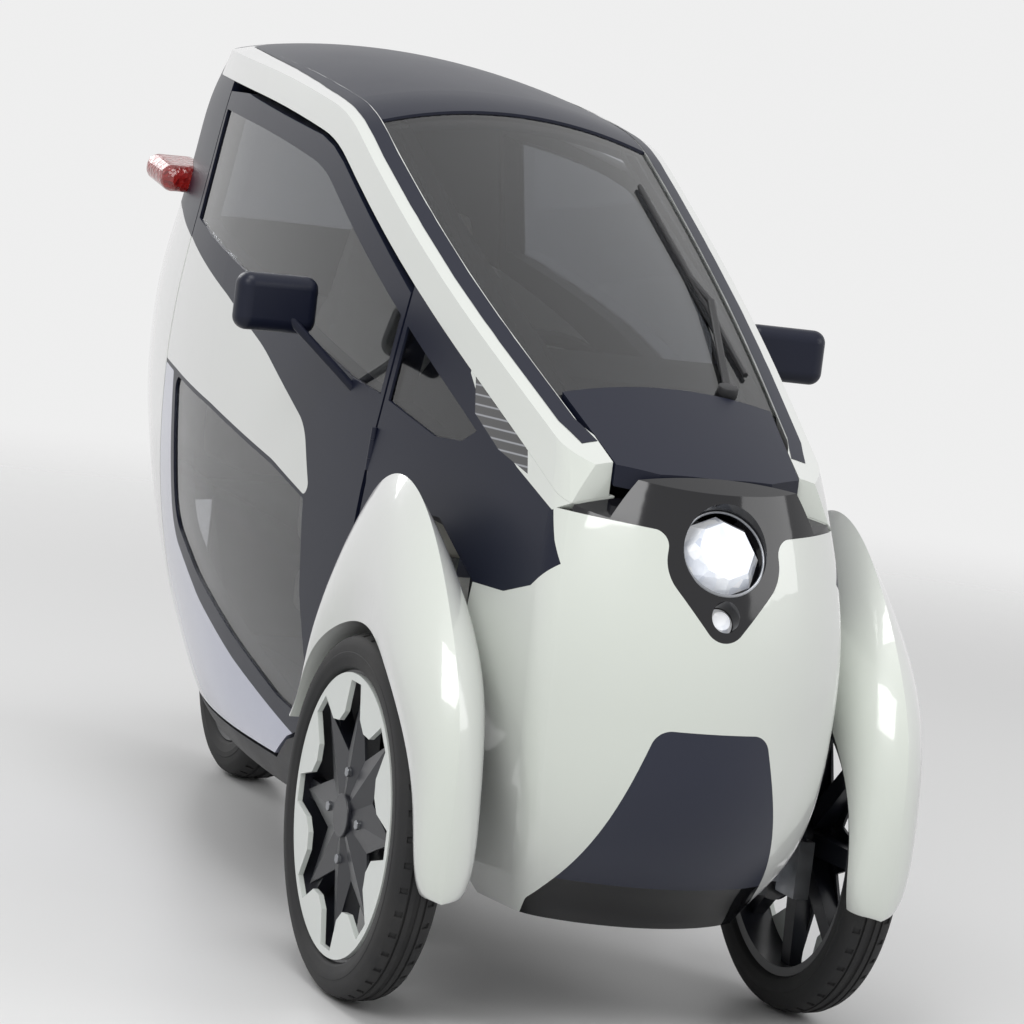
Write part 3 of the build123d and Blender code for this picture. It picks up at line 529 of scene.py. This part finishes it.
# tyres with ribs, grooves and shoulder pockets
tyreLooks = {
    "left_front_tyre": {"body": "left_wheel", "centre": (0.772, 0.370, 0.275), "wall": 0.056,
                        "steps": 180},
    "right_front_tyre": {"body": "right_wheel", "centre": (0.772, -0.370, 0.275), "wall": 0.056,
                         "steps": 180},
    "rear_tyre": {"body": "rear_wheel", "centre": (-0.928, 0.0, 0.236), "wall": 0.071,
                  "steps": 160},
}
tyreHalf = [  # height above the rim as a share of the wall, and half width as a share
    (0.0, 0.34), (0.05, 0.43), (0.10, 0.46), (0.12, 0.47), (0.30, 0.49), (0.32, 0.498),
    (0.46, 0.5), (0.48, 0.49), (0.62, 0.488), (0.74, 0.465), (0.86, 0.41), (0.90, 0.37),
    (0.91, 0.355), (0.985, 0.22), (0.988, 0.20), (0.94, 0.19), (0.94, 0.16),
    (0.993, 0.15), (1.0, 0.055), (0.95, 0.045), (0.95, 0.015)]
tread = {"height": 0.999, "pocketEvery": 4, "pocketShift": 2, "pocketBand": (0.22, 0.355),
         "pocketEdge": 0.0007, "pocketDepth": 0.0028, "crease": 32}


def makeTyre(node, looks):
    low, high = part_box(node)
    cx, cy, cz = looks["centre"]
    outer = (high[0] - low[0]) / 2
    width = high[1] - low[1]
    rim = outer - looks["wall"]
    half = [(rim + share * (outer - rim) * tread["height"], y * width) for share, y in tyreHalf]
    profile = [(r, -y) for r, y in half] + [(r, y) for r, y in reversed(half)]
    piece = turned(profile, looks["centre"], looks["steps"])
    band = [share * width for share in tread["pocketBand"]]
    pitch = math.tau / looks["steps"]

    def isPocket(c):
        slot = int(round(math.atan2(c[2] - cz, c[0] - cx) / pitch - 0.5))
        shift = 0 if c[1] > cy else tread["pocketShift"]
        isOnBand = band[0] < abs(c[1] - cy) < band[1]
        return isOnBand and (slot + shift) % tread["pocketEvery"] == 0

    chosenFaces(piece, isPocket)
    bpy.ops.mesh.inset(use_individual=True, thickness=tread["pocketEdge"],
                       depth=-tread["pocketDepth"])
    bpy.ops.object.mode_set(mode="OBJECT")
    smoothed(piece, tread["crease"])
    settled(piece, "tyreOf_" + node, "tyre", looks["body"], node)


for node, looks in tyreLooks.items():
    makeTyre(node, looks)
print("tyres made")

# faceted star, cap and bolts on the front wheels
star = {"lobes": 8, "reach": 0.192, "waist": 0.098, "rise": 0.010, "thick": 0.004,
        "behind": 0.0055, "waistSink": 0.0035, "tipSink": 0.001,
        "capRadius": 0.033, "capDepth": 0.007, "capLift": 0.001, "capEdge": 0.0015,
        "bolts": 4, "boltCircle": 0.0665, "boltRadius": 0.008, "boltLength": 0.010,
        "boltSink": 0.002, "boltEdge": 0.0012}


def makeStar(side, sign):
    low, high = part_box(side + "_wheel_disc")
    cx, cz = tyreLooks[side + "_front_tyre"]["centre"][::2]
    back = low[1] - star["behind"] if sign > 0 else high[1] + star["behind"]
    deselectAll()
    bpy.ops.mesh.primitive_circle_add(vertices=2 * star["lobes"], radius=star["reach"],
                                      fill_type="TRIFAN", location=(cx, back, cz),
                                      rotation=(math.radians(90), 0, 0))
    bpy.ops.object.transform_apply(location=True, rotation=True, scale=True)
    piece = bpy.context.object
    ring = [v for v in piece.data.vertices
            if math.hypot(v.co.x - cx, v.co.z - cz) > star["capRadius"]]
    pitch = math.pi / star["lobes"]
    waist = [v.index for v in ring
             if round(math.atan2(v.co.z - cz, v.co.x - cx) / pitch) % 2]
    tips = [v.index for v in ring if v.index not in waist]
    moves = ((waist, star["waist"] / star["reach"], -star["waistSink"]),
             (tips, 1.0, -star["tipSink"]), (None, 1.0, star["rise"]))
    for picked, scale, shift in moves:
        bpy.ops.object.mode_set(mode="EDIT")
        bpy.ops.mesh.select_mode(type="VERT")
        bpy.ops.mesh.select_all(action="DESELECT")
        bpy.ops.object.mode_set(mode="OBJECT")
        for vertex in piece.data.vertices:
            isRing = vertex.index in waist or vertex.index in tips
            vertex.select = vertex.index in picked if picked is not None else not isRing
        bpy.ops.object.mode_set(mode="EDIT")
        bpy.ops.transform.resize(value=(scale, 1, scale), center_override=(cx, back, cz))
        bpy.ops.transform.translate(value=(0, sign * shift, 0))
        bpy.ops.object.mode_set(mode="OBJECT")
    plate = piece.modifiers.new("plate", "SOLIDIFY")
    plate.thickness = star["thick"]
    plate.offset = 0
    applyAll(piece)
    face = back + sign * star["rise"]
    cap = drum((cx, face + sign * star["capLift"], cz), star["capRadius"], star["capDepth"],
               (0, 1, 0), 40, star["capEdge"])
    settled(joined([piece, cap]), side + "StarCover", "wheel_black", side + "_wheel")
    bolts = []
    for k in range(star["bolts"]):
        a = math.tau * k / star["bolts"]
        place = (cx + star["boltCircle"] * math.cos(a), face - sign * star["boltSink"],
                 cz + star["boltCircle"] * math.sin(a))
        bolts.append(drum(place, star["boltRadius"], star["boltLength"], (0, 1, 0), 6,
                          star["boltEdge"]))
    settled(joined(bolts), side + "WheelBolts", "steel", side + "_wheel")


for side, sign in (("left", 1), ("right", -1)):
    makeStar(side, sign)
print("wheel covers made")

# mirrors: a face on the back of each head
mirrorFace = {"at": (0.2845, 0.450, 1.004), "radius": 0.036, "stretch": 1.55, "turn": 8.0,
              "depth": 0.0025}


def makeMirrors():
    for side, sign in (("left", 1), ("right", -1)):
        x, y, z = mirrorFace["at"]
        deselectAll()
        tilt = math.radians(-sign * mirrorFace["turn"])
        bpy.ops.mesh.primitive_cylinder_add(vertices=48, radius=mirrorFace["radius"],
                                            depth=mirrorFace["depth"],
                                            location=(x, sign * y, z),
                                            rotation=(0, math.radians(90), tilt),
                                            scale=(1, mirrorFace["stretch"], 1))
        settled(bpy.context.object, side + "MirrorFace", "mirrorFace", side + "_door")


makeMirrors()
print("mirrors made")

# steel ring around the headlamp, put where the dark lamp pod shows only a thin highlight: a
# painted highlight
lampHighlightRing = {"at": (1.1242, 0.0, 0.7545), "tilt": 28.0, "radius": 0.0645, "thick": 0.0024}


def makeLampHighlightRing():
    deselectAll()
    bpy.ops.mesh.primitive_torus_add(major_radius=lampHighlightRing["radius"], major_segments=72,
                                     minor_radius=lampHighlightRing["thick"], minor_segments=12,
                                     location=lampHighlightRing["at"],
                                     rotation=(0, math.radians(90 - lampHighlightRing["tilt"]), 0))
    settled(smoothed(bpy.context.object, 60), "lampHighlightRing", "steel", "root")


makeLampHighlightRing()
print("lamp ring made")

# wiper parked along the left edge of the windscreen
wiper = {"foot": (0.842, 0.105), "elbow": (0.60, 0.165), "blade": [(0.78, 0.160), (0.26, 0.170)],
         "lift": 0.016, "armRadius": 0.006, "tipShare": 0.8, "bladeRadius": 0.0045,
         "bladeGap": 0.001, "bladeBars": 8, "footLift": 0.004, "footRadius": 0.016,
         "footHeight": 0.018, "footEdge": 0.003, "footAxis": (0.3, 0, 1)}


def onGlass(x, y, lift):
    hit, place, normal, index = nodes["windscreen"].ray_cast(Vector((x, y, 3)), Vector((0, 0, -1)))
    if not hit:
        raise SystemExit("no windscreen at %.3f %.3f" % (x, y))
    return place + normal * lift


def makeWiper():
    (x0, y0), (x1, y1) = wiper["blade"]
    count = wiper["bladeBars"]
    line = [onGlass(x0 + (x1 - x0) * k / count, y0 + (y1 - y0) * k / count,
                    wiper["bladeRadius"] + wiper["bladeGap"]) for k in range(count + 1)]
    parts = [bar(a, b, wiper["bladeRadius"], 8) for a, b in zip(line, line[1:])]
    foot = onGlass(*wiper["foot"], wiper["footLift"])
    elbow = onGlass(*wiper["elbow"], wiper["lift"])
    parts.append(bar(foot, elbow, wiper["armRadius"], 10))
    parts.append(bar(elbow, line[count // 2], wiper["armRadius"] * wiper["tipShare"], 8))
    parts.append(drum(foot, wiper["footRadius"], wiper["footHeight"], wiper["footAxis"], 20,
                      wiper["footEdge"]))
    piece = smoothed(joined(parts), 40)
    settled(piece, "wiperArm", "black_plastic", "root")


makeWiper()
print("wiper made")

# dark strip over the inner half of each white roof rail, narrower towards the rear
railStrip = {"front": 0.985, "rear": -0.740, "count": 60, "width": 0.024, "lift": 0.0009,
             "inset": 0.0012, "above": 1.6, "searchMm": (100, 320), "cuts": 2,
             "taperFrom": -0.02, "taperStep": 0.03, "taperBy": 0.0009, "tapers": 24}


def innerEdge(x):
    rails = nodes["body_rails"]
    for step in range(*railStrip["searchMm"]):
        hit, place, normal, index = rails.ray_cast(Vector((x, step / 1000, 3)), Vector((0, 0, -1)))
        if hit:
            return step / 1000
    return None


def makeRailStrips():
    count = railStrip["count"]
    line = []
    for k in range(count + 1):
        x = railStrip["front"] + (railStrip["rear"] - railStrip["front"]) * k / count
        y = innerEdge(x)
        if y is not None:
            line.append((x, y))
    for side, sign in (("left", 1), ("right", -1)):
        piece = traced([(x, sign * (y + railStrip["inset"]), railStrip["above"])
                        for x, y in line])
        bpy.ops.mesh.select_all(action="SELECT")
        bpy.ops.mesh.extrude_region_move(
            TRANSFORM_OT_translate={"value": (0, sign * railStrip["width"], 0)})
        bpy.ops.object.mode_set(mode="OBJECT")
        outer = [v.index for v in piece.data.vertices if v.select]
        for k in range(railStrip["tapers"]):
            limit = railStrip["taperFrom"] - k * railStrip["taperStep"]
            bpy.ops.object.mode_set(mode="EDIT")
            bpy.ops.mesh.select_all(action="DESELECT")
            bpy.ops.object.mode_set(mode="OBJECT")
            for index in outer:
                piece.data.vertices[index].select = piece.data.vertices[index].co.x < limit
            bpy.ops.object.mode_set(mode="EDIT")
            bpy.ops.transform.translate(value=(0, -sign * railStrip["taperBy"], 0))
            bpy.ops.object.mode_set(mode="OBJECT")
        bpy.ops.object.mode_set(mode="EDIT")
        bpy.ops.mesh.select_all(action="SELECT")
        bpy.ops.mesh.subdivide(number_cuts=railStrip["cuts"])
        bpy.ops.object.mode_set(mode="OBJECT")
        press = piece.modifiers.new("press", "SHRINKWRAP")
        press.target = nodes["body_rails"]
        press.wrap_method = "PROJECT"
        press.use_project_x = press.use_project_y = False
        press.use_project_z = True
        press.use_negative_direction = True
        press.use_positive_direction = False
        press.offset = railStrip["lift"]
        applyAll(piece)
        settled(smoothed(piece, 40), side + "RailStrip", "night_blue", "root")


makeRailStrips()
print("rail strips made")

# dash display and pedals
cabin = {"display": ((0.505, -0.085, 0.924), (0.517, 0.085, 0.988)), "displayLean": 39.8,
         "pedals": [(0.60, -0.055), (0.60, 0.055)], "pedalHeight": 0.34,
         "pedalHalf": (0.03, 0.04), "pedalDepth": 0.01, "edge": 0.003,
         "rodEnd": (0.713, 0.10), "rodRadius": 0.007}


def makeCabinDetails():
    low, high = cabin["display"]
    piece = brick(low, high, cabin["edge"], cabin["displayLean"])
    settled(piece, "dashDisplay", "screenGlow", "root")
    parts = []
    z, deep = cabin["pedalHeight"], cabin["pedalDepth"]
    wide, tall = cabin["pedalHalf"]
    endX, rise = cabin["rodEnd"]
    for x, y in cabin["pedals"]:
        parts.append(brick((x, y - wide, z - tall), (x + deep, y + wide, z + tall),
                           cabin["edge"]))
        parts.append(bar((x + deep / 2, y, z), (endX, y, z + rise), cabin["rodRadius"]))
    settled(joined(parts), "pedalPads", "black_plastic", "root")


makeCabinDetails()
print("cabin details made")

# cushions, swollen by cloth between pinned seams
cushions = {
    "driver_seat_cushion": {
        "side": [(-0.230, 0.436), (0.164, 0.436), (0.164, 0.512), (0.12, 0.528),
                 (-0.18, 0.522), (-0.230, 0.518)],
        "half": 0.187, "seams": [("y", 0.118), ("y", -0.118), ("x", -0.02)], "neck": None,
        "pressure": 5.4},
    "driver_seat_back": {
        "side": [(-0.200, 0.552), (-0.280, 0.552), (-0.358, 0.955), (-0.359, 1.02),
                 (-0.359, 1.158), (-0.312, 1.168), (-0.286, 1.02), (-0.272, 0.955)],
        "half": 0.176, "seams": [("y", 0.110), ("y", -0.110), ("z", 0.78), ("z", 0.985)],
        "neck": (1.0, 0.62)},
    "rear_seat": {
        "side": [(-0.686, 0.622), (-0.960, 0.622), (-0.988, 0.952), (-0.956, 0.960),
                 (-0.896, 0.728), (-0.686, 0.702)],
        "half": 0.157, "seams": [("y", 0.098), ("y", -0.098)], "neck": None},
}
swell = {"voxel": 0.006, "pressure": 4.0, "frames": 20, "seamHalf": 0.006, "edge": 0.022,
         "stiffness": 40, "bending": 0.5, "crease": 60}


def makeCushion(node, shape):
    half = shape["half"]
    points = [(x, -half, z) for x, z in shape["side"]]
    piece = traced(points + points[:1])
    bpy.ops.mesh.select_all(action="SELECT")
    bpy.ops.mesh.remove_doubles(threshold=mergeGap)
    bpy.ops.mesh.select_all(action="SELECT")
    bpy.ops.mesh.edge_face_add()
    bpy.ops.mesh.extrude_region_move(TRANSFORM_OT_translate={"value": (0, 2 * half, 0)})
    bpy.ops.mesh.select_all(action="SELECT")
    bpy.ops.mesh.normals_make_consistent(inside=False)
    bpy.ops.object.mode_set(mode="OBJECT")
    if shape["neck"]:
        height, share = shape["neck"]
        bpy.ops.object.mode_set(mode="EDIT")
        bpy.ops.mesh.select_mode(type="VERT")
        bpy.ops.mesh.select_all(action="DESELECT")
        bpy.ops.object.mode_set(mode="OBJECT")
        for vertex in piece.data.vertices:
            vertex.select = vertex.co.z > height
        bpy.ops.object.mode_set(mode="EDIT")
        bpy.ops.transform.resize(value=(1, share, 1), center_override=(0, 0, height))
        bpy.ops.object.mode_set(mode="OBJECT")
    rounding = piece.modifiers.new("rounding", "BEVEL")
    rounding.width = swell["edge"]
    rounding.segments = 3
    skin = piece.modifiers.new("skin", "REMESH")
    skin.mode = "VOXEL"
    skin.voxel_size = swell["voxel"]
    applyAll(piece)
    group = piece.vertex_groups.new(name="seams")
    pinned = []
    for vertex in piece.data.vertices:
        for axis, place in shape["seams"]:
            if abs(vertex.co["xyz".index(axis)] - place) < swell["seamHalf"]:
                pinned.append(vertex.index)
                break
    group.add(pinned, 1.0, "REPLACE")
    cloth = piece.modifiers.new("cloth", "CLOTH")
    cloth.settings.use_pressure = True
    cloth.settings.uniform_pressure_force = shape.get("pressure", swell["pressure"])
    cloth.settings.vertex_group_mass = "seams"
    cloth.settings.effector_weights.gravity = 0.0
    cloth.settings.tension_stiffness = swell["stiffness"]
    cloth.settings.compression_stiffness = swell["stiffness"]
    cloth.settings.bending_stiffness = swell["bending"]
    cloth.collision_settings.use_collision = False
    cloth.point_cache.frame_start = 1
    cloth.point_cache.frame_end = swell["frames"]
    for frameNumber in range(1, swell["frames"] + 1):
        bpy.context.scene.frame_set(frameNumber)
    before = [v.co.copy() for v in piece.data.vertices]
    applyAll(piece)
    bpy.context.scene.frame_set(1)
    moved = max((v.co - b).length for v, b in zip(piece.data.vertices, before))
    print(node, "swelled by up to %.1f mm" % (moved * 1000))
    fine = piece.modifiers.new("fine", "SUBSURF")
    fine.levels = 1
    applyAll(piece)
    smoothed(piece, swell["crease"])
    settled(piece, node + "_form", "cream_fabric", "root", node)
    low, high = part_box(node)
    spots = [v.co for v in piece.data.vertices]
    over = max(max(low[i] - min(c[i] for c in spots), max(c[i] for c in spots) - high[i])
               for i in range(3))
    print(node, "reaches %.1f mm past its solid" % (over * 1000))


for node, shape in cushions.items():
    makeCushion(node, shape)
print("cushions made")

# plain pale floor and backdrop, soft lamps, and the camera at the photograph's angle
studio = {"floorSize": 40.0, "floorColor": (0.72, 0.72, 0.72), "floorRough": 0.4,
          "mottle": 0.6, "mottleShade": 0.97, "worldLight": 0.42, "backdrop": 0.86,
          "fadeFrom": 3.2, "fadeTo": 8.0, "lampAim": (0, 0, 0.6)}


def makeFloor():
    deselectAll()
    bpy.ops.mesh.primitive_plane_add(size=studio["floorSize"], location=(0, 0, 0))
    floor = bpy.context.object
    floor.name = "studioFloor"
    material, tree, shader = newMaterial("floorPaint", studio["floorColor"],
                                         studio["floorRough"])
    noise = addNode(tree, "ShaderNodeTexNoise")
    noise.inputs["Scale"].default_value = studio["mottle"]
    coords = addNode(tree, "ShaderNodeTexCoord")
    tree.links.new(coords.outputs["Object"], noise.inputs["Vector"])
    slightly = tuple(c * studio["mottleShade"] for c in studio["floorColor"])
    tree.links.new(mixColor(tree, noise.outputs["Fac"], studio["floorColor"], slightly),
                   shader.inputs["Base Color"])
    reach = addNode(tree, "ShaderNodeVectorMath", operation="LENGTH")
    tree.links.new(coords.outputs["Object"], reach.inputs[0])
    fade = addNode(tree, "ShaderNodeMapRange", interpolation_type="SMOOTHSTEP")
    fade.inputs["From Min"].default_value = studio["fadeFrom"]
    fade.inputs["From Max"].default_value = studio["fadeTo"]
    fade.inputs["To Min"].default_value = 1.0
    fade.inputs["To Max"].default_value = 0.0
    tree.links.new(reach.outputs["Value"], fade.inputs["Value"])
    tree.links.new(fade.outputs[0], shader.inputs["Alpha"])
    floor.data.materials.append(material)


def makeWorld():
    world = bpy.data.worlds.new("studioWorld")
    bpy.context.scene.world = world
    world.use_nodes = True
    tree = world.node_tree
    background = tree.nodes["Background"]
    path = addNode(tree, "ShaderNodeLightPath")
    seen = wireMath(tree, "MAXIMUM", path.outputs["Is Camera Ray"],
                    path.outputs["Is Transmission Ray"])
    seen = wireMath(tree, "MAXIMUM", seen, path.outputs["Is Glossy Ray"])
    strength = addNode(tree, "ShaderNodeMapRange")
    strength.inputs["To Min"].default_value = studio["worldLight"]
    strength.inputs["To Max"].default_value = studio["backdrop"]
    tree.links.new(seen, strength.inputs["Value"])
    tree.links.new(strength.outputs[0], background.inputs["Strength"])
    background.inputs["Color"].default_value = (1, 1, 1, 1)


lamps = [
    {"name": "keyPanel", "at": (5.0, -4.5, 5.5), "size": (4.0, 3.0), "watts": 210.0},
    {"name": "fillPanel", "at": (4.0, 5.0, 3.5), "size": (4.0, 3.0), "watts": 90.0},
    {"name": "topPanel", "at": (1.8, -0.8, 6.0), "size": (2.6, 2.4), "watts": 130.0},
    {"name": "rearPanel", "at": (-6.0, -2.0, 4.0), "size": (3.0, 3.0), "watts": 110.0},
]


def makeLamps():
    for lamp in lamps:
        light = bpy.data.lights.new(lamp["name"], "AREA")
        light.shape = "RECTANGLE"
        light.size, light.size_y = lamp["size"]
        light.energy = lamp["watts"]
        holder = bpy.data.objects.new(lamp["name"], light)
        bpy.context.scene.collection.objects.link(holder)
        holder.location = lamp["at"]
        aim = Vector(studio["lampAim"]) - holder.location
        holder.rotation_euler = aim.to_track_quat("-Z", "Y").to_euler()


cameraView = {"azimuth": 68.0, "elevation": 5.8, "distance": 6.0, "aim": (0.30, 0.0, 0.70),
              "lens": 128.0, "roll": 7.0}


def makeCamera():
    data = bpy.data.cameras.new("photoView")
    camera = bpy.data.objects.new("photoView", data)
    bpy.context.scene.collection.objects.link(camera)
    a, e = math.radians(cameraView["azimuth"]), math.radians(cameraView["elevation"])
    back = Vector((math.sin(a) * math.cos(e), -math.cos(a) * math.cos(e), math.sin(e)))
    camera.location = Vector(cameraView["aim"]) + back * cameraView["distance"]
    turn = (-back).to_track_quat("-Z", "Y").to_matrix()
    roll = Matrix.Rotation(math.radians(cameraView["roll"]), 3, "Z")
    camera.rotation_euler = (turn @ roll).to_euler()
    data.lens = cameraView["lens"]
    bpy.context.scene.camera = camera


makeFloor()
makeWorld()
makeLamps()
makeCamera()
bpy.context.scene.view_settings.view_transform = "Standard"
print("studio made")
